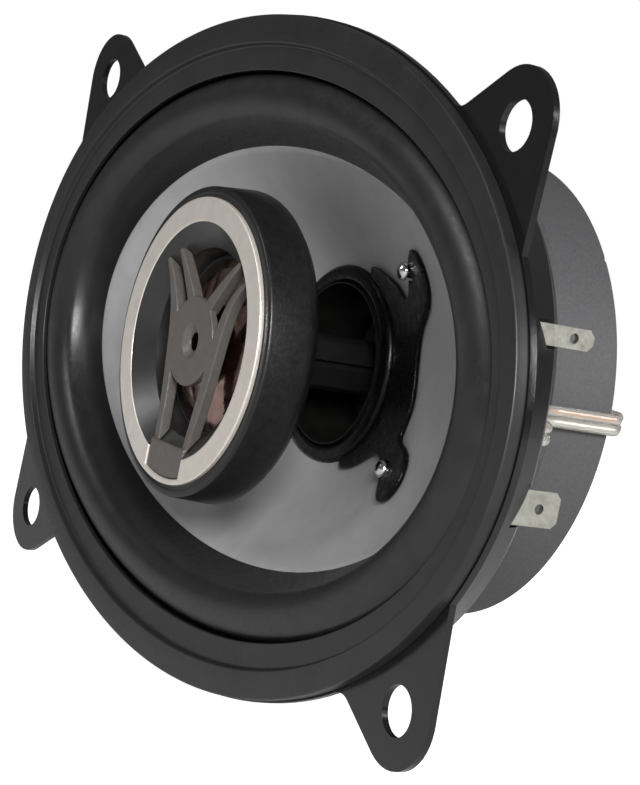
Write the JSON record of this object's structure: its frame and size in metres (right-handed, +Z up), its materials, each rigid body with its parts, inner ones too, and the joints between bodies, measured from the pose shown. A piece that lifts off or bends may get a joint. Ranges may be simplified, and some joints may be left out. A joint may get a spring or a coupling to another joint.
{
  "type": "coaxial car speaker",
  "caption": "Oval coaxial car speaker: pressed basket, ring magnet, oval cone, and a tweeter pod on a centre post.",
  "frame": {"origin": "centre of the mounting plane, the rear face of the flange, on the speaker's axis", "axes": "-Y out of the speaker's front, +X along the long axis of the oval towards the terminals, +Z up along the short axis"},
  "size_m": [0.155, 0.0619, 0.1032],
  "materials": {
    "black_paint": "gloss black paint on pressed steel",
    "gasket_plastic": "moulded, satin",
    "surround_foam": "doped cloth, semi-gloss",
    "cone_poly": "injected polypropylene with mica, satin",
    "black_glue": "cured adhesive, glossy",
    "bright_metal": "bright plated",
    "braid": "tinned copper braid",
    "former_film": "polyimide film",
    "copper_wire": "enamelled copper",
    "spider_cloth": "impregnated cotton",
    "zinc_steel": "zinc plated",
    "ferrite": "sintered ferrite",
    "post_plastic": "moulded",
    "pod_plastic": "moulded, satin",
    "face_plastic": "moulded",
    "trim_metal": "satin",
    "grille_plastic": "metallic paint, satin",
    "copper_film": "metallised film",
    "black_rubber": "soft",
    "capacitor_sleeve": "shrink sleeve",
    "board": "phenolic board",
    "tinned_brass": "tinned",
    "clear_jacket": "clear vinyl",
    "silver_wire": "tinned copper"
  },
  "bodies": {
    "root": {"basket": "black_paint", "gasket": "gasket_plastic", "top_plate": "zinc_steel", "basket_rivets": "bright_metal", "magnet": "ferrite", "yoke": "zinc_steel", "tweeter_post": "post_plastic", "tweeter_pod": "pod_plastic", "post_nut": "zinc_steel", "tweeter_faceplate": "face_plastic", "trim_ring": "trim_metal", "tweeter_grille": "grille_plastic", "tweeter_surround": "black_rubber", "tweeter_top_washer": "zinc_steel", "tweeter_magnet": "ferrite", "tweeter_cup": "zinc_steel", "crossover_capacitor": "capacitor_sleeve", "terminal_block": "board", "terminal_rivets": "bright_metal", "small_terminal": "tinned_brass", "large_terminal": "tinned_brass", "lead_jacket": "clear_jacket", "copper_conductor": "copper_wire", "silver_conductor": "silver_wire", "surround": "surround_foam", "spider": "spider_cloth", "upper_woofer_lead": "braid", "lower_woofer_lead": "braid"},
    "woofer": {"cone": "cone_poly", "hub_ring": "black_glue", "lead_adhesive": "black_glue", "lead_eyelets": "bright_metal", "voice_coil_former": "former_film", "voice_coil": "copper_wire"},
    "tweeter": {"tweeter_diaphragm": "copper_film", "tweeter_coil": "copper_wire"}
  },
  "joints": [
    {"name": "woofer_stroke", "type": "slide", "parent": "root", "child": "woofer", "axis": [0, -1, 0], "range_m": [-0.003, 0.003], "stiffness_N_per_m": 1500, "deforming": ["surround", "spider", "upper_woofer_lead", "lower_woofer_lead"]},
    {"name": "tweeter_stroke", "type": "slide", "parent": "root", "child": "tweeter", "axis": [0, -1, 0], "range_m": [-0.00025, 0.00025], "stiffness_N_per_m": 3000, "deforming": ["tweeter_surround"]}
  ]
}
